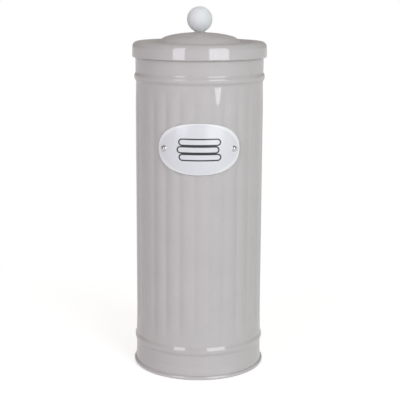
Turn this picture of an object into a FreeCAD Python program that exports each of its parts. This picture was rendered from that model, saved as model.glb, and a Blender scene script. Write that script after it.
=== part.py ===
import FreeCAD
import Part
import math
import os

# Round sheet-steel canister for cotton pads, with a loose lid, a ball knob and an oval plate.
# Millimetres, +Z up, front towards -Y, origin at the middle of the foot.

# Sheet steel and fits
sheet = 0.5
seam_clearance = 0.05
hole_clearance = 0.1
cut_overrun = 5.0

# Canister wall
canister_height = 194.9
band_radius = 37.85
neck_height = 19.5
mouth_flare = 0.15
curl_gap = 1.3
curl_depth = 2.4
bottom_bead_height = 16.9
bead_half_width = 2.6
bead_crest_half_width = 0.9
bead_rise = 0.8
bead_crest_round = 1.5
bead_high_foot_round = 1.5
bead_low_foot_round = 2.4
foot_rise = 0.23
flare_out = 0.42
flare_low_height = 3.6
flare_low_round = 10.0
flare_high_height = 7.4
flare_high_round = 10.0

# Upright ribs of the wall
rib_count = 27
rib_turn_degrees = -3.9
rib_top_gap = 1.0
rib_bottom_gap = 1.8
rib_top_inset = 0.23
rib_top_run_out = 12.0
rib_bottom_run_out = 13.0
rib_rise = 0.05
groove_depth = 0.55
groove_round = 2.0

# Base plate
base_inset = 1.0
base_recess = 2.6
base_round = 0.8
base_curl_height = 2.4
base_curl_width = 1.05

# Lid
lid_clearance = 0.35
lid_hem_gap = 0.5
lid_hem_height = 1.8
lid_headroom = 0.35
lid_skirt_height = 8.9
lid_skirt_taper = 0.25
lid_shoulder_round = 3.2
lid_rim_width = 5.9
lid_crest_rise = 0.35
lid_crest_round = 4.5
lid_valley_inset = 13.0
lid_valley_depth = 3.5
lid_valley_round = 2.5
dome_edge_inset = 17.3
dome_edge_rise = 2.4
dome_edge_round = 9.0
dome_crown_share = 0.6
dome_crown_drop = 0.65
dome_crown_round = 58.0
dome_rise = 5.3

# Knob
ball_radius = 7.5
ball_foot_radius = 3.1
ball_lift = 0.15
ball_foot_round = 0.4
knob_seat_margin = 1.1
knob_seat_round = 2.0
insert_radius = 2.2
insert_length = 7.5
insert_chamfer = 0.3
screw_radius = 1.5
screw_bite = 6.0
screw_head_radius = 2.8
screw_head_height = 1.9
screw_head_round = 0.9
screw_slot_width = 0.8
screw_slot_depth = 0.9
thread_clearance = 0.02
washer_radius = 3.5
washer_thickness = 0.5

# Oval plate
plate_drop = 57.7
plate_width = 45.4
plate_tall = 29.6
plate_crown = 1.4
plate_gap = 0.3
plate_thickness = 0.8
plate_edge_round = 0.45

# Rivets of the plate
rivet_inset = 2.7
rivet_shank_radius = 1.0
rivet_head_radius = 1.8
rivet_head_height = 1.1
rivet_seat_gap = 0.05
rivet_clinch_radius = 1.7
rivet_clinch_height = 0.8
rivet_clinch_gap = 0.35
rivet_clinch_round = 0.3
rivet_bore_radius = 0.6
rivet_bore_depth = 1.2

ORIGIN = FreeCAD.Vector(0, 0, 0)
UP = FreeCAD.Vector(0, 0, 1)


def polar(radius, angle, height):
    """Point at an angle from the front, turning towards +X."""
    return FreeCAD.Vector(radius * math.sin(angle), -radius * math.cos(angle), height)


def rounded_path(corners):
    """Wire in the XZ plane through (x, z, rounding) corners, with a tangent arc at each rounded one.

    Two arcs that want more than the run between them get smaller together.
    """
    points = [FreeCAD.Vector(x, 0, z) for x, z, rounding in corners]
    runs = [end - start for start, end in zip(points, points[1:])]
    bends = [0] + [math.tan(before.getAngle(after) / 2) for before, after in zip(runs, runs[1:])] + [0]
    reaches = [corner[2] * bend for corner, bend in zip(corners, bends)]
    for place, run in enumerate(runs):
        wanted = reaches[place] + reaches[place + 1]
        room = run.Length - seam_clearance
        if wanted > room:
            reaches[place] *= room / wanted
            reaches[place + 1] *= room / wanted
    edges = []
    start = points[0]
    for place in range(1, len(points) - 1):
        corner = points[place]
        back = (start - corner).normalize()
        onward = (points[place + 1] - corner).normalize()
        reach = reaches[place]
        edges.append(Part.LineSegment(start, corner + back * reach).toShape())
        if reach:
            half_angle = back.getAngle(onward) / 2
            inwards = (back + onward).normalize()
            middle = corner + inwards * (reach / math.cos(half_angle) - reach * math.tan(half_angle))
            edges.append(Part.Arc(corner + back * reach, middle, corner + onward * reach).toShape())
        start = corner + onward * reach
    edges.append(Part.LineSegment(start, points[-1]).toShape())
    return Part.Wire(edges)


def pressed_sheet(path):
    """Sheet of the steel's thickness on the left of a path, turned about the upright axis."""
    section = path.makeOffset2D(sheet, join=0, fill=True, openResult=True)
    return section.revolve(ORIGIN, UP, 360)


# Canister wall

pitch = 2 * math.pi / rib_count
rib_turn = math.radians(rib_turn_degrees)
crest_radius = band_radius + rib_rise
groove_floor = band_radius - groove_depth

# Each rib is one arc, and each groove a smaller arc that meets the ribs beside it without a corner
groove_centre = groove_floor + groove_round
groove_reach = groove_centre * math.cos(pitch / 2)
rib_power = crest_radius**2 + groove_centre**2 - 2 * crest_radius * groove_reach - groove_round**2
rib_round = rib_power / 2 / (crest_radius + groove_round - groove_reach)
rib_centre = crest_radius - rib_round


def rib_edge(inset):
    """Radius of the line where rib and groove meet, and its angle from the middle of the rib."""
    share = (rib_round - inset) / (rib_round + groove_round)
    along = rib_centre + share * (groove_reach - rib_centre)
    across = share * groove_centre * math.sin(pitch / 2)
    return math.hypot(along, across), math.atan2(across, along)


def wall_section(height, inset, plain_radius):
    """Closed wire round the wall, ribbed, or plain where it has a plain radius, with the same corners."""
    edge_radius, edge_angle = rib_edge(inset)
    radii = (crest_radius - inset, edge_radius, groove_floor - inset)
    if plain_radius:
        radii = (plain_radius - inset,) * 3
    crest, edge, floor = radii
    arcs = []
    for rib in range(rib_count):
        middle = rib_turn + pitch * (rib + 1 / 2)
        left = polar(edge, middle - edge_angle, height)
        right = polar(edge, middle + edge_angle, height)
        next_left = polar(edge, middle + pitch - edge_angle, height)
        arcs.append(Part.Arc(left, polar(crest, middle, height), right).toShape())
        arcs.append(Part.Arc(right, polar(floor, middle + pitch / 2, height), next_left).toShape())
    return Part.Wire(arcs)


def wall_zone(low, low_plain_radius, high, high_plain_radius):
    """Ring of the wall between two heights, each end ribbed, or plain where it has a plain radius."""
    filled = []
    for inset in (0, sheet):
        ends = [wall_section(low, inset, low_plain_radius), wall_section(high, inset, high_plain_radius)]
        filled.append(Part.makeLoft(ends, True, True))
    return filled[0].cut(filled[1])


def bead(height, low_radius, high_radius):
    """Corners of a flat-topped bead pressed outwards, between the wall's radii below and above it."""
    crest = high_radius + bead_rise
    return [
        (low_radius, height - bead_half_width, bead_low_foot_round),
        (crest, height - bead_crest_half_width, bead_crest_round),
        (crest, height + bead_crest_half_width, bead_crest_round),
        (high_radius, height + bead_half_width, bead_high_foot_round),
    ]


curl_width = 2 * sheet + curl_gap
curl_round = curl_width / 2 - seam_clearance
mouth_radius = band_radius + mouth_flare
foot_band_radius = band_radius + foot_rise
foot_radius = foot_band_radius + flare_out
foot_height = base_round + seam_clearance
top_bead_height = canister_height - neck_height
rib_high_height = top_bead_height - bead_half_width - rib_top_gap
rib_low_height = bottom_bead_height + bead_half_width + rib_bottom_gap
rib_top_radius = band_radius - rib_top_inset

neck = pressed_sheet(rounded_path(
    [(rib_top_radius, rib_high_height, 0)]
    + bead(top_bead_height, rib_top_radius, band_radius)
    + [
        (mouth_radius, canister_height, curl_round),
        (mouth_radius - curl_width, canister_height, curl_round),
        (mouth_radius - curl_width, canister_height - curl_depth, 0),
    ]
))
foot = pressed_sheet(rounded_path(
    [
        (foot_radius, foot_height, 0),
        (foot_radius, flare_low_height, flare_low_round),
        (foot_band_radius, flare_high_height, flare_high_round),
    ]
    + bead(bottom_bead_height, foot_band_radius, foot_band_radius)
    + [(foot_band_radius, rib_low_height, 0)]
))
full_low = rib_low_height + rib_bottom_run_out
full_high = rib_high_height - rib_top_run_out
canister_wall = foot.multiFuse([
    wall_zone(rib_low_height, foot_band_radius, full_low, None),
    wall_zone(full_low, None, full_high, None),
    wall_zone(full_high, None, rib_high_height, rib_top_radius),
    neck,
])

# Base plate, its edge curled up round the end of the wall

base_radius = band_radius - sheet - base_inset
base_curl_low_radius = foot_radius + seam_clearance
base_curl_radius = base_curl_low_radius + base_curl_width
base_curl_round = base_curl_height / 2 - seam_clearance
base_plate = pressed_sheet(rounded_path([
    (0, base_recess, 0),
    (base_radius, base_recess, base_round),
    (base_radius, 0, base_round),
    (base_curl_radius, 0, base_curl_round),
    (base_curl_radius, base_curl_height, base_curl_round),
    (base_curl_low_radius, base_curl_height, 0),
]))

# Lid, pressed in one piece, its hem folded inwards round the neck

hem_width = 2 * sheet + lid_hem_gap
hem_round = hem_width / 2 - seam_clearance
hem_radius = mouth_radius + lid_clearance
lid_radius = hem_radius + hem_width
shoulder_radius = lid_radius - lid_skirt_taper
shoulder_height = canister_height + lid_headroom + sheet
lid_low = shoulder_height - lid_skirt_height
dome_edge_radius = shoulder_radius - dome_edge_inset
dome_top = shoulder_height + dome_rise
seat_radius = ball_foot_radius + knob_seat_margin
screw_hole_radius = screw_radius + hole_clearance
lid_shell = pressed_sheet(rounded_path([
    (hem_radius, lid_low + lid_hem_height, 0),
    (hem_radius, lid_low, hem_round),
    (lid_radius, lid_low, hem_round),
    (shoulder_radius, shoulder_height, lid_shoulder_round),
    (shoulder_radius - lid_rim_width, shoulder_height + lid_crest_rise, lid_crest_round),
    (shoulder_radius - lid_valley_inset, shoulder_height - lid_valley_depth, lid_valley_round),
    (dome_edge_radius, shoulder_height + dome_edge_rise, dome_edge_round),
    (dome_edge_radius * dome_crown_share, dome_top - dome_crown_drop, dome_crown_round),
    (seat_radius, dome_top, knob_seat_round),
    (screw_hole_radius, dome_top, 0),
]))

# Knob: ball on a short foot, brass bush, and a screw and washer from inside the lid

seat = FreeCAD.Vector(0, 0, dome_top)
ball_centre = FreeCAD.Vector(0, 0, dome_top + ball_lift + ball_radius)
ball_foot = Part.makeCylinder(ball_foot_radius, ball_lift + ball_radius, seat)
knob_ball = Part.makeSphere(ball_radius, ball_centre).fuse(ball_foot)


def round_edges(shape, radius):
    """Circular edges of a shape that have this radius."""
    circles = [edge for edge in shape.Edges if not edge.Degenerated and isinstance(edge.Curve, Part.Circle)]
    return [edge for edge in circles if abs(edge.Curve.Radius - radius) < seam_clearance]


ball_neck = [edge for edge in round_edges(knob_ball, ball_foot_radius) if edge.BoundBox.ZMin > dome_top]
knob_ball = knob_ball.makeFillet(ball_foot_round, ball_neck)
insert_bore = Part.makeCylinder(insert_radius, insert_length, seat)
knob_ball = knob_ball.cut(insert_bore)

bush_radius = insert_radius - thread_clearance
knob_insert = Part.makeCylinder(bush_radius, insert_length, seat)
knob_insert = knob_insert.makeChamfer(insert_chamfer, round_edges(knob_insert, bush_radius))
knob_insert = knob_insert.cut(Part.makeCylinder(screw_radius + thread_clearance, insert_length, seat))

washer_low = dome_top - sheet - washer_thickness
washer_place = FreeCAD.Vector(0, 0, washer_low)
knob_washer = Part.makeCylinder(washer_radius, washer_thickness, washer_place)
knob_washer = knob_washer.cut(Part.makeCylinder(screw_hole_radius, washer_thickness, washer_place))

head_place = FreeCAD.Vector(0, 0, washer_low - screw_head_height)
screw_head = Part.makeCylinder(screw_head_radius, screw_head_height, head_place)
head_rim = [edge for edge in round_edges(screw_head, screw_head_radius) if edge.BoundBox.ZMax < washer_low]
screw_head = screw_head.makeFillet(screw_head_round, head_rim)
screw_slot = Part.makeBox(2 * screw_head_radius, screw_slot_width, screw_slot_depth)
screw_slot.translate(head_place - FreeCAD.Vector(screw_head_radius, screw_slot_width / 2, 0))
screw_shank = Part.makeCylinder(screw_radius, washer_thickness + sheet + screw_bite, washer_place)
knob_screw = screw_head.cut(screw_slot).fuse(screw_shank)

# Oval plate, domed both ways, its edge lying on the ribs

plate_half_width = plate_width / 2
plate_half_tall = plate_tall / 2
rest_radius = crest_radius + plate_gap
plate_end = math.sqrt(rest_radius**2 - plate_half_width**2)
plate_front = rest_radius + plate_crown
plate_sag = plate_front - plate_end
plate_round = (plate_half_width**2 + plate_sag**2) / (2 * plate_sag)
plate_upright_round = (plate_half_tall**2 + plate_crown**2) / (2 * plate_crown)
plate_axis = plate_front - plate_round
plate_middle = FreeCAD.Vector(0, -plate_axis, canister_height - plate_drop)


def plate_form(thickness):
    """Filled barrel whose side is the back of the plate, or its face when given the thickness."""
    side = plate_round + thickness
    reach = plate_half_tall + plate_thickness
    bulge = plate_upright_round + thickness
    edge = side - bulge + math.sqrt(bulge**2 - reach**2)
    low = FreeCAD.Vector(edge, 0, -reach)
    high = FreeCAD.Vector(edge, 0, reach)
    low_end = FreeCAD.Vector(0, 0, -reach)
    high_end = FreeCAD.Vector(0, 0, reach)
    outline = [
        Part.LineSegment(low_end, low).toShape(),
        Part.Arc(low, FreeCAD.Vector(side, 0, 0), high).toShape(),
        Part.LineSegment(high, high_end).toShape(),
        Part.LineSegment(high_end, low_end).toShape(),
    ]
    barrel = Part.Face(Part.Wire(outline)).revolve(ORIGIN, UP, 360)
    barrel.translate(plate_middle)
    return barrel


def oval(distance):
    """Upright oval at a distance from the axis, its width following rays from the plate's own axis."""
    spread = (distance - plate_axis) / (plate_end - plate_axis)
    centre = plate_middle + polar(distance - plate_axis, 0, 0)
    long_end = centre + FreeCAD.Vector(spread * plate_half_width, 0, 0)
    tall_end = centre + FreeCAD.Vector(0, 0, plate_half_tall)
    return Part.Wire(Part.Ellipse(long_end, tall_end, centre).toShape())


plate_back = oval(plate_end - cut_overrun)
plate_fore = oval(plate_front + plate_thickness + cut_overrun)
plate_blank = Part.makeLoft([plate_back, plate_fore], True, True)
label_plate = plate_form(plate_thickness).cut(plate_form(0)).common(plate_blank)
plate_face = max(label_plate.Faces, key=lambda face: face.Area)
label_plate = label_plate.makeFillet(plate_edge_round, plate_face.Edges)

# Rivets, square to the plate's face, clinched over inside the wall

rivet_angle = math.asin((plate_half_width - rivet_inset) / (plate_round + plate_thickness))
rivet_seat = plate_round + plate_thickness + rivet_seat_gap
wall_drop = plate_axis * math.cos(rivet_angle)
inner_radius = groove_floor - sheet
wall_inside = math.sqrt(inner_radius**2 - plate_axis**2 + wall_drop**2) - wall_drop
clinch_seat = wall_inside - rivet_clinch_gap
rivet_end = clinch_seat - rivet_clinch_height
rivet_dome = (rivet_head_radius**2 + rivet_head_height**2) / (2 * rivet_head_height)
shank_hole_radius = rivet_shank_radius + hole_clearance


def rivet_placing(side):
    """Where a rivet goes: its own axis square to the plate's face, from the plate's axis outwards."""
    return FreeCAD.Placement(plate_middle, FreeCAD.Rotation(UP, polar(1, side * rivet_angle, 0)))


def rivet(side):
    """Domed head on the plate, shank, and hollow end rolled out inside the wall, turned in one piece."""
    shank = rounded_path([
        (rivet_head_radius, rivet_seat, 0),
        (rivet_shank_radius, rivet_seat, 0),
        (rivet_shank_radius, clinch_seat, 0),
        (rivet_clinch_radius, clinch_seat, rivet_clinch_round),
        (rivet_clinch_radius, rivet_end, rivet_clinch_round),
        (rivet_bore_radius, rivet_end, 0),
        (rivet_bore_radius, rivet_end + rivet_bore_depth, 0),
        (0, rivet_end + rivet_bore_depth, 0),
    ])
    top = FreeCAD.Vector(0, 0, rivet_seat + rivet_head_height)
    half_way = math.asin(rivet_head_radius / rivet_dome) / 2
    flank = top + FreeCAD.Vector(math.sin(half_way), 0, math.cos(half_way) - 1) * rivet_dome
    head = Part.Arc(top, flank, FreeCAD.Vector(rivet_head_radius, 0, rivet_seat)).toShape()
    core = Part.LineSegment(FreeCAD.Vector(0, 0, rivet_end + rivet_bore_depth), top).toShape()
    turned = Part.Face(Part.Wire([head] + shank.Edges + [core])).revolve(ORIGIN, UP, 360)
    turned.Placement = rivet_placing(side)
    return turned


sides = {"left": -1, "right": 1}
for side in sides.values():
    shank_hole = Part.makeCylinder(shank_hole_radius, rivet_seat + cut_overrun)
    shank_hole.Placement = rivet_placing(side)
    label_plate = label_plate.cut(shank_hole)
    canister_wall = canister_wall.cut(shank_hole)

pieces = {
    "canister_wall": canister_wall,
    "base_plate": base_plate,
    "label_plate": label_plate,
    "label_rivet_left": rivet(sides["left"]),
    "label_rivet_right": rivet(sides["right"]),
    "lid_shell": lid_shell,
    "knob_ball": knob_ball,
    "knob_insert": knob_insert,
    "knob_washer": knob_washer,
    "knob_screw": knob_screw,
}
os.makedirs("parts", exist_ok=True)
for name, piece in pieces.items():
    solid = piece.Solids[0]
    solid.exportStep("parts/" + name + ".step")
    print(name, len(piece.Solids), solid.isValid(), solid.Volume, solid.optimalBoundingBox())
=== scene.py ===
import bmesh
import bpy
import math
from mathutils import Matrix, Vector


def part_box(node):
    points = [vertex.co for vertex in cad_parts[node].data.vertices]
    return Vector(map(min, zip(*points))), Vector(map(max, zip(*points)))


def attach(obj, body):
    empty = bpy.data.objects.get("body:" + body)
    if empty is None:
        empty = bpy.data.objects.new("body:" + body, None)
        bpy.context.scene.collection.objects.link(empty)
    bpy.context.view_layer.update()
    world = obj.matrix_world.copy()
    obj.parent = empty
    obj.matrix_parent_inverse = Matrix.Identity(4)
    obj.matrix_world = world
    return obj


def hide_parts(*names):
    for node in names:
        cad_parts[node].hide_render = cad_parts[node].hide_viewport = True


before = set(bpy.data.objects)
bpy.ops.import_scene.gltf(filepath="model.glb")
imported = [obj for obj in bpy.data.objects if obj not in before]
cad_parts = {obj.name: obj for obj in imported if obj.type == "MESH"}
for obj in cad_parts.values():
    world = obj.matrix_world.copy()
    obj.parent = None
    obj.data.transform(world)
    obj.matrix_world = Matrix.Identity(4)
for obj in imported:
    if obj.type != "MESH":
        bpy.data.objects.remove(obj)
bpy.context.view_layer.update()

# Canister wall: one sheet of steel rolled to a tube, its ribs and beads pressed outwards, its foot
# widening a little and its mouth curled inwards. It is stove enamelled in light grey, inside and out.

mm = 0.001
sheet = 0.5 * mm
foot_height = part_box("canister_wall")[0].z
foot_radius = 38.5 * mm
flare_low_height = 3.6 * mm
flare_high_height = 7.4 * mm
flare_round = 10.0 * mm
foot_band_radius = 38.08 * mm
band_radius = 37.85 * mm
mouth_radius = 38.0 * mm
bead_half_width = 2.6 * mm
bead_crest_half_width = 0.9 * mm
bead_rise = 0.8 * mm
bead_crest_round = 1.5 * mm
bead_high_foot_round = 1.5 * mm
bead_low_foot_round = 2.4 * mm
low_bead_height = 16.9 * mm
high_bead_height = 175.4 * mm
rib_count = 27
rib_turn = math.radians(2.8)
rib_low_height = 21.3 * mm
rib_high_height = 171.8 * mm
rib_top_radius = 37.62 * mm
groove_radius = 37.3 * mm
crest_radius = 37.9 * mm
rib_low_run_out = 13 * mm
rib_high_run_out = 12 * mm
run_out_ease_share = 0.2
rib_round_share = 0.82
mouth_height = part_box("canister_wall")[1].z
curl_width = 2.3 * mm
curl_depth = 2.4 * mm
curl_round = 1.1 * mm
run_out_rings = 10
columns_per_rib = 12
arc_steps = 7
place_tolerance = sheet / 100
merge_distance = sheet / 1000
crease_angle = math.radians(40)


def drawn_chain(name, corners):
    """Edges in the XZ plane through (x, z, rounding) corners, the rounded ones bevelled to arcs."""
    bpy.ops.object.select_all(action="DESELECT")
    bpy.ops.mesh.primitive_plane_add(size=sheet)
    piece = bpy.context.object
    piece.name = name
    piece.data.name = name
    bpy.ops.object.mode_set(mode="EDIT")
    bpy.ops.mesh.merge(type="CENTER")
    points = [Vector((x, 0, z)) for x, z, rounding in corners]
    bpy.ops.transform.translate(value=points[0])
    for start, end in zip(points, points[1:]):
        bpy.ops.mesh.extrude_vertices_move(TRANSFORM_OT_translate={"value": end - start})
    for place in range(1, len(points) - 1):
        rounding = corners[place][2]
        if rounding:
            turn = (points[place] - points[place - 1]).angle(points[place + 1] - points[place])
            select_places(piece, lambda co: (co - points[place]).length < place_tolerance)
            bpy.ops.mesh.bevel(
                affect="VERTICES",
                offset_type="ABSOLUTE",
                offset=rounding * math.tan(turn / 2),
                segments=arc_steps,
            )
    return piece


def select_places(piece, wanted):
    """Selects the vertices of the piece in edit mode whose places are wanted, and no others."""
    mesh = bmesh.from_edit_mesh(piece.data)
    for vertex in mesh.verts:
        vertex.select_set(wanted(vertex.co))
    mesh.select_flush_mode()
    bmesh.update_edit_mesh(piece.data)


def turned(name, corners, columns):
    """Skin turned about the upright axis from a chain of corners, its faces outwards."""
    piece = drawn_chain(name, corners)
    bpy.ops.mesh.select_all(action="SELECT")
    bpy.ops.mesh.spin(steps=columns, angle=2 * math.pi, center=(0, 0, 0), axis=(0, 0, 1))
    bpy.ops.mesh.select_all(action="SELECT")
    bpy.ops.mesh.remove_doubles(threshold=merge_distance)
    bpy.ops.mesh.normals_make_consistent(inside=False)
    bpy.ops.object.mode_set(mode="OBJECT")
    return piece


def finished_by(piece, kind, **settings):
    """Adds a modifier of a kind to the piece, sets it and applies it."""
    bpy.context.view_layer.objects.active = piece
    bpy.ops.object.modifier_add(type=kind)
    modifier = piece.modifiers[-1]
    for name, value in settings.items():
        setattr(modifier, name, value)
    bpy.ops.object.modifier_apply(modifier=modifier.name)


def bead(height, low_radius, high_radius):
    """Corners of a flat-topped bead pressed outwards, between the wall's radii below and above it."""
    crest = high_radius + bead_rise
    return [
        (low_radius, height - bead_half_width, bead_low_foot_round),
        (crest, height - bead_crest_half_width, bead_crest_round),
        (crest, height + bead_crest_half_width, bead_crest_round),
        (high_radius, height + bead_half_width, bead_high_foot_round),
    ]


def ramp(share):
    """Straight rise from nought to one as the share does, its upper end eased into the level."""
    ease = run_out_ease_share
    bent = min(max(share - 1 + ease, 0), 2 * ease)
    return min(max(share, 0), 1 - ease) + bent - bent**2 / (4 * ease)


def run_out(height):
    """How far the ribs have risen at a height: nothing at their ends, and all between the run-outs."""
    low = ramp((height - rib_low_height) / rib_low_run_out)
    high = ramp((rib_high_height - height) / rib_high_run_out)
    return low * high


def rib_relief(turn):
    """How far a rib stands out at an angle round the wall: a broad arc, a narrow groove beside it."""
    pitch = 2 * math.pi / rib_count
    off_crest = abs((turn - rib_turn + pitch / 2) % pitch - pitch / 2) / (pitch / 2)
    if off_crest < rib_round_share:
        return 1 - off_crest**2 / rib_round_share
    return (1 - off_crest) ** 2 / (1 - rib_round_share)


def rib_ring(end_height, end_radius, share, length):
    """Corner of the wall under its ribs, a share of the way along a run-out from the end of the ribs."""
    height = end_height + length * (1 + run_out_ease_share) * share
    return (groove_radius + (end_radius - groove_radius) * (1 - run_out(height)), height, 0)


shares = [ring / run_out_rings for ring in range(run_out_rings + 1)]
low_rings = [rib_ring(rib_low_height, foot_band_radius, share, rib_low_run_out) for share in shares]
high_rings = [rib_ring(rib_high_height, rib_top_radius, share, -rib_high_run_out) for share in shares]
canister_wall = turned(
    "canister_wall_enamelled",
    [
        (foot_radius, foot_height, 0),
        (foot_radius, flare_low_height, flare_round),
        (foot_band_radius, flare_high_height, flare_round),
    ]
    + bead(low_bead_height, foot_band_radius, foot_band_radius)
    + low_rings
    + high_rings[::-1]
    + bead(high_bead_height, rib_top_radius, band_radius)
    + [
        (mouth_radius, mouth_height, curl_round),
        (mouth_radius - curl_width, mouth_height, curl_round),
        (mouth_radius - curl_width, mouth_height - curl_depth, 0),
    ],
    rib_count * columns_per_rib,
)
relief = canister_wall.vertex_groups.new(name="rib_relief")
for vertex in canister_wall.data.vertices:
    place = vertex.co
    if rib_low_height < place.z < rib_high_height:
        weight = rib_relief(math.atan2(place.x, -place.y)) * run_out(place.z)
        relief.add([vertex.index], weight, "REPLACE")
finished_by(
    canister_wall,
    "DISPLACE",
    strength=crest_radius - groove_radius,
    mid_level=0,
    vertex_group="rib_relief",
)
finished_by(canister_wall, "SOLIDIFY", thickness=sheet, offset=-1)
bpy.ops.object.select_all(action="DESELECT")
canister_wall.select_set(True)
bpy.ops.object.shade_smooth_by_angle(angle=crease_angle)
finished_by(canister_wall, "WEIGHTED_NORMAL", mode="FACE_AREA_WITH_ANGLE", keep_sharp=True)


class Signal:
    """A socket in a material that takes part in sums. Each sum adds a Math node."""

    def __init__(self, tree, socket=None):
        self.tree = tree
        self.socket = socket

    def node(self, kind, settings, inputs, output=0):
        """A new node of a kind: its settings first, then the values or links of its sockets."""
        made = self.tree.nodes.new(kind)
        for name, value in settings.items():
            setattr(made, name, value)
        for name, value in inputs.items():
            if isinstance(value, Signal):
                self.tree.links.new(value.socket, made.inputs[name])
            else:
                made.inputs[name].default_value = value
        return Signal(self.tree, made.outputs[output])

    def math(self, operation, first, second=0.0):
        return self.node("ShaderNodeMath", {"operation": operation}, {0: first, 1: second})

    def __add__(self, other):
        return self.math("ADD", self, other)

    def __sub__(self, other):
        return self.math("SUBTRACT", self, other)

    def __rsub__(self, other):
        return self.math("SUBTRACT", other, self)

    def __mul__(self, other):
        return self.math("MULTIPLY", self, other)

    def __abs__(self):
        return self.math("ABSOLUTE", self)

    __radd__ = __add__
    __rmul__ = __mul__

    def along(self, axis):
        """One of the coordinates of a place: X, Y or Z."""
        return self.node("ShaderNodeSeparateXYZ", {}, {0: self}, axis)

    def clear(self, low, high):
        """Zero below low and one above high, easing between them."""
        limits = {"Value": self, "From Min": low, "From Max": high}
        return self.node("ShaderNodeMapRange", {"interpolation_type": "SMOOTHSTEP"}, limits)

    def tint(self, dark, light):
        """Colour between dark where this is zero and light where it is one."""
        colours = {"Factor": self, 6: dark, 7: light}
        return self.node("ShaderNodeMix", {"data_type": "RGBA"}, colours, 2)


def new_finish(name):
    """A new material with its own principled shader, and the object coordinates it is patterned on."""
    material = bpy.data.materials.new(name)
    material.use_nodes = True
    shader = material.node_tree.nodes["Principled BSDF"]
    place = Signal(material.node_tree).node("ShaderNodeTexCoord", {}, {}, "Object")
    return material, shader, place


def grain(place, size, detail=2.0):
    """Noise with lumps of about this size, in metres."""
    return place.node("ShaderNodeTexNoise", {}, {"Vector": place, "Scale": 1 / size, "Detail": detail})


def coat_with(material, shader, colour, roughness, height, depth):
    """Links a finish's colour, roughness and surface height to its shader."""
    bumped = height.node("ShaderNodeBump", {}, {"Height": height, "Distance": depth, "Strength": 1.0})
    for name, signal in {"Base Color": colour, "Roughness": roughness, "Normal": bumped}.items():
        material.node_tree.links.new(signal.socket, shader.inputs[name])


def rgb(red, green, blue):
    """A colour given on the screen's scale of 0 to 255, as a shader takes it."""
    return (*[((share / 255 + 0.055) / 1.055) ** 2.4 for share in (red, green, blue)], 1.0)


cloud_size = 14 * mm
cloud_share = 0.7
mottle_size = 1.8 * mm
mottle_share = 0.3
speck_size = 0.7 * mm
speck_start, speck_full = 0.74, 0.8
speck_share = 0.35
enamel_roughness = 0.3
mottle_roughness = 0.1
peel_size = 11 * mm
fine_peel_size = 2.2 * mm
fine_peel_share = 0.16
peel_depth = 0.015 * mm
under_glaze_shine = 0.1
enamel_gloss = 0.3
enamel_gloss_blur = 0.015
glaze_index = 2.6


def enamelled(place, dark, light):
    """Colour, roughness and height of fired enamel: faint clouds, a few specks, a slight orange peel."""
    mottle = grain(place, mottle_size)
    specks = grain(place, speck_size, detail=0.0).clear(speck_start, speck_full)
    clouds = grain(place, cloud_size) * cloud_share + mottle * mottle_share
    colour = (clouds - specks * speck_share).tint(dark, light)
    roughness = enamel_roughness + mottle_roughness * mottle
    height = grain(place, peel_size) + grain(place, fine_peel_size) * fine_peel_share
    return colour, roughness, height


def glaze(shader, gloss=enamel_gloss, blur=enamel_gloss_blur):
    """Lays the clear gloss of fired enamel over a shader."""
    shader.inputs["Specular IOR Level"].default_value = under_glaze_shine
    shader.inputs["Coat Weight"].default_value = gloss
    shader.inputs["Coat IOR"].default_value = glaze_index
    shader.inputs["Coat Roughness"].default_value = blur


grey_dark = rgb(184, 181, 180)
grey_light = rgb(196, 193, 192)
grey_enamel, grey_shader, grey_place = new_finish("grey_enamel")
grey_colour, grey_roughness, grey_height = enamelled(grey_place, grey_dark, grey_light)
coat_with(grey_enamel, grey_shader, grey_colour, grey_roughness, grey_height, peel_depth)
glaze(grey_shader)
canister_wall.data.materials.append(grey_enamel)
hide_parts("canister_wall")
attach(canister_wall, "canister")

# Base plate: pressed from the same sheet and enamelled with the wall, its edge curled up round the
# wall's end as a round hem. The rest ring under it is rubbed by the shelf.


def dressed(node, material):
    """Gives one of the solid pieces that stays as it is a material of its own."""
    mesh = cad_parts[node].data
    mesh.materials.clear()
    mesh.materials.append(material)


rub_height = 0.25 * mm
rub_size = 3 * mm
rub_start, rub_full = 0.4, 0.7
rub_roughness = 0.3
rub_grey = rgb(128, 125, 122)
hem_gloss = 0.6
rubbed_enamel, rubbed_shader, rubbed_place = new_finish("rubbed_enamel")
base_colour, base_roughness, base_height = enamelled(rubbed_place, grey_dark, grey_light)
worn_patches = grain(rubbed_place, rub_size, detail=4.0).clear(rub_start, rub_full)
rubbed = (1 - rubbed_place.along("Z").clear(0, rub_height)) * worn_patches
coat_with(
    rubbed_enamel,
    rubbed_shader,
    rubbed.tint(base_colour, rub_grey),
    base_roughness + rub_roughness * rubbed,
    base_height,
    peel_depth,
)
glaze(rubbed_shader, gloss=hem_gloss)
dressed("base_plate", rubbed_enamel)

# Oval plate: a domed plate of white enamelled steel on the ribs, held by a rivet at each end. It is
# printed in charcoal with a plain sign for its contents, three pads lying on each other. Its edge is
# painted lighter all round, a painted highlight.

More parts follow.
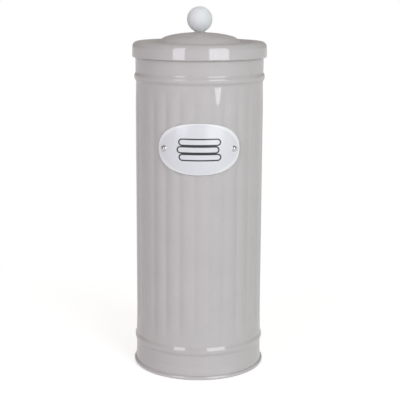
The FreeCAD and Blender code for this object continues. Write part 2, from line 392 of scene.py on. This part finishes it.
plate_dark = rgb(219, 221, 225)
plate_light = rgb(227, 229, 233)
# Lighter white that the plate's colour turns to near its edge, a painted highlight.
painted_highlight_white = rgb(238, 240, 241)
painted_highlight_start = 0.93
plate_gloss = 0.15
plate_gloss_blur = 0.2
pad_half_length = 10.0 * mm
pad_half_height = 1.75 * mm
pad_step = 4.3 * mm
pad_slips = (0.5 * mm, -0.6 * mm, 0.3 * mm)
print_width = 0.8 * mm
print_edge = 0.12 * mm
print_height = 0.3
charcoal = rgb(48, 49, 52)
plate_low, plate_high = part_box("label_plate")
plate_middle = (plate_low.z + plate_high.z) / 2
plate_enamel, plate_shader, plate_place = new_finish("plate_enamel")
plate_colour, plate_roughness, plate_height = enamelled(plate_place, plate_dark, plate_light)
sideways = plate_place.along("X")
upwards = plate_place.along("Z")
wide = sideways * (2 / (plate_high.x - plate_low.x))
tall = (upwards - plate_middle) * (2 / (plate_high.z - plate_low.z))
# Painted highlight: the plate turns lighter towards its edge all round, a painted reflection of the
# bright floor on the domed edge.
painted_rim_highlight = sideways.math("SQRT", wide * wide + tall * tall).clear(painted_highlight_start, 1.0)
printed = 0.0
for step, slip in enumerate(pad_slips):
    beyond = sideways.math("MAXIMUM", abs(sideways - slip) - pad_half_length, 0.0)
    above = upwards - (plate_middle + (step - 1) * pad_step)
    from_core = sideways.math("SQRT", beyond * beyond + above * above)
    off_line = abs(from_core - pad_half_height)
    printed = printed + 1 - off_line.clear(print_width / 2 - print_edge, print_width / 2 + print_edge)
coat_with(
    plate_enamel,
    plate_shader,
    printed.clear(0, 1).tint(painted_rim_highlight.tint(plate_colour, painted_highlight_white), charcoal),
    plate_roughness,
    plate_height + print_height * printed,
    peel_depth,
)
glaze(plate_shader, gloss=plate_gloss, blur=plate_gloss_blur)
dressed("label_plate", plate_enamel)

# Rivets of the plate: two pins of nickel-plated steel with polished round heads. They go through
# the ends of the plate and the wall, and are clinched inside.

scratch_detail = 6.0
scratch_depth = 0.004 * mm
handling_size = 2.5 * mm
handling_roughness = 0.12


def metalled(name, dark, light, roughness, scratch_size):
    """Bare metal in two close tones, its polish broken by fine scratches and a little handling."""
    material, shader, place = new_finish(name)
    scratches = grain(place, scratch_size, scratch_detail)
    handled = grain(place, handling_size)
    colour = ((scratches + handled) * 0.5).tint(dark, light)
    polish = roughness + handling_roughness * handled
    coat_with(material, shader, colour, polish, scratches, scratch_depth)
    shader.inputs["Metallic"].default_value = 1.0
    return material


rivet_steel = metalled(
    "rivet_steel",
    dark=rgb(172, 172, 174),
    light=rgb(203, 203, 205),
    roughness=0.16,
    scratch_size=0.25 * mm,
)
dressed("label_rivet_left", rivet_steel)
dressed("label_rivet_right", rivet_steel)

# Lid: pressed from one sheet with a dome, a valley and a raised round rim, its edge hemmed inwards,
# and enamelled with the wall. It lies loose on the mouth.

dressed("lid_shell", grey_enamel)

# Ball knob: moulded from satin white plastic that lets a little light through, with a short foot by
# which the screw pulls it down on the dome. Its lowest millimetre is painted greyer, a painted shade
# round that foot.

ball_dark = rgb(220, 223, 224)
ball_light = rgb(230, 233, 234)
# Grey of the painted shade at the ball's foot, and how far up it reaches.
ball_painted_shade = rgb(204, 203, 201)
ball_painted_shade_height = 1.0 * mm
ball_foot_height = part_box("knob_ball")[0].z
ball_cloud_size = 5 * mm
ball_cloud_share = 0.7
ball_pore_size = 0.35 * mm
ball_pore_share = 0.3
ball_pore_depth = 0.006 * mm
ball_roughness = 0.4
ball_pore_roughness = 0.12
ball_gloss = 0.08
ball_scatter_depth = 4 * mm
ball_plastic, ball_shader, ball_place = new_finish("ball_plastic")
ball_pores = grain(ball_place, ball_pore_size, detail=4.0)
ball_clouds = grain(ball_place, ball_cloud_size) * ball_cloud_share + ball_pores * ball_pore_share
# Painted shade: the ball's colour turns greyer towards its foot, standing in for the shade where the
# ball meets the dome.
ball_above_painted_shade = ball_place.along("Z").clear(ball_foot_height, ball_foot_height + ball_painted_shade_height)
coat_with(
    ball_plastic,
    ball_shader,
    ball_above_painted_shade.tint(ball_painted_shade, ball_clouds.tint(ball_dark, ball_light)),
    ball_roughness + ball_pore_roughness * ball_pores,
    ball_pores,
    ball_pore_depth,
)
ball_shader.inputs["Specular IOR Level"].default_value = ball_gloss
ball_shader.inputs["Subsurface Weight"].default_value = 1.0
ball_shader.inputs["Subsurface Radius"].default_value = (1.0, 1.0, 1.0)
ball_shader.inputs["Subsurface Scale"].default_value = ball_scatter_depth
dressed("knob_ball", ball_plastic)

# Bush, washer and screw of the knob: a turned brass bush moulded into the ball, and a zinc-plated
# washer and pan head screw that pull it down from inside the lid.

bush_brass = metalled(
    "bush_brass",
    dark=rgb(188, 150, 84),
    light=rgb(218, 182, 112),
    roughness=0.24,
    scratch_size=0.15 * mm,
)
fastener_zinc = metalled(
    "fastener_zinc",
    dark=rgb(168, 171, 176),
    light=rgb(204, 206, 209),
    roughness=0.28,
    scratch_size=0.4 * mm,
)
dressed("knob_insert", bush_brass)
dressed("knob_washer", fastener_zinc)
dressed("knob_screw", fastener_zinc)

# Floor: a wide table painted matt white, which fills the view. The canister stands on it, and keeps
# its soft shadow close round its foot. Further out the table is plain white.

floor_size = 60.0
floor_gap = 0.05 * mm
floor_grey = (0.7, 0.7, 0.7, 1)
floor_roughness = 0.9
floor_glow = 0.6
shadow_inner = 0.06
shadow_outer = 0.26
bpy.ops.object.select_all(action="DESELECT")
bpy.ops.mesh.primitive_plane_add(size=floor_size, location=(0, 0, -floor_gap))
floor = bpy.context.object
floor.name = "floor"
floor_paint, floor_shader, floor_place = new_finish("floor_paint")
floor_shader.inputs["Base Color"].default_value = floor_grey
floor_shader.inputs["Roughness"].default_value = floor_roughness
floor_shader.inputs["Specular IOR Level"].default_value = 0.0
lit = Signal(floor_paint.node_tree, floor_shader.outputs[0])
rays = ("Is Camera Ray", "Is Glossy Ray", "Is Transmission Ray")
seen = sum(lit.node("ShaderNodeLightPath", {}, {}, ray) for ray in rays)
away = floor_place.node("ShaderNodeVectorMath", {"operation": "LENGTH"}, {0: floor_place}, "Value")
outside = away.clear(shadow_inner, shadow_outer)
white = lit.node("ShaderNodeEmission", {}, {"Strength": 1.0})
glow = lit.node("ShaderNodeEmission", {}, {"Strength": floor_glow})
near = lit.node("ShaderNodeAddShader", {}, {0: lit, 1: glow})
shown = lit.node("ShaderNodeMixShader", {}, {0: outside, 1: near, 2: white})
table = lit.node("ShaderNodeMixShader", {}, {0: seen, 1: lit, 2: shown})
floor_output = floor_paint.node_tree.nodes["Material Output"]
floor_paint.node_tree.links.new(table.socket, floor_output.inputs["Surface"])
floor.data.materials.append(floor_paint)

# Light: a grey room, a little warm on the left, and a tall soft window on each side of the camera.
# A low soft light from the backdrop fills the shaded back, and isn't mirrored in the enamel.

room_level = 0.42
room_left = (0.98, 0.9, 0.86, 1)
room_right = (0.98, 1.0, 0.92, 1)
room_reach = 0.9
window_distance = 2.0
world = bpy.data.worlds.new("studio")
bpy.context.scene.world = world
world.use_nodes = True
world_shader = world.node_tree.nodes["Background"]
heading = Signal(world.node_tree).node("ShaderNodeTexCoord", {}, {}, "Generated")
room = heading.along("X").clear(-room_reach, room_reach).tint(room_left, room_right)
world.node_tree.links.new(room.socket, world_shader.inputs["Color"])
world_shader.inputs["Strength"].default_value = room_level


def window(name, azimuth, width, low, high, radiance, colour, mirrored=True):
    """Upright soft light facing the axis. Its azimuth from the front and its width are in degrees."""
    turn = math.radians(azimuth)
    breadth = 2 * window_distance * math.tan(math.radians(width / 2))
    light = bpy.data.lights.new(name, "AREA")
    light.shape = "RECTANGLE"
    light.size = breadth
    light.size_y = high - low
    light.energy = radiance * math.pi * breadth * (high - low)
    light.color = colour
    lamp = bpy.data.objects.new(name, light)
    bpy.context.scene.collection.objects.link(lamp)
    middle = (low + high) / 2
    lamp.location = (window_distance * math.sin(turn), -window_distance * math.cos(turn), middle)
    lamp.rotation_euler = (math.radians(90), 0, turn)
    lamp.visible_glossy = mirrored


window(
    "window_left",
    azimuth=-35,
    width=20.5,
    low=0.14,
    high=1.9,
    radiance=3.1,
    colour=(1.03, 0.98, 1.11),
)
window(
    "window_right",
    azimuth=33,
    width=34,
    low=0.018,
    high=1.9,
    radiance=3.36,
    colour=(0.97, 1.0, 1.05),
)
window(
    "backdrop_fill",
    azimuth=180,
    width=20,
    low=0.02,
    high=0.7,
    radiance=6.5,
    colour=(1.0, 1.0, 1.0),
    mirrored=False,
)

# Camera: a little above the lid and looking down on the canister from the front, as the photograph
# was taken, with the small shift of its cropped frame.

camera_distance = 621.56 * mm
camera_height = 228.76 * mm
camera_side = 0.6 * mm
camera_pitch = math.radians(10.8)
camera_lean = math.radians(0.26)
lens_length = 94.15
film_width = 36.0
frame_shift = -0.04
nearest_seen = 0.01
camera = bpy.data.objects.new("camera", bpy.data.cameras.new("camera"))
bpy.context.scene.collection.objects.link(camera)
camera.data.lens = lens_length
camera.data.sensor_width = film_width
camera.data.shift_y = frame_shift
camera.data.clip_start = nearest_seen
camera.location = (camera_side, -camera_distance, camera_height)
camera.rotation_mode = "ZXY"
camera.rotation_euler = (math.pi / 2 - camera_pitch, 0, camera_lean)
bpy.context.scene.camera = camera
bpy.context.scene.view_settings.view_transform = "Standard"
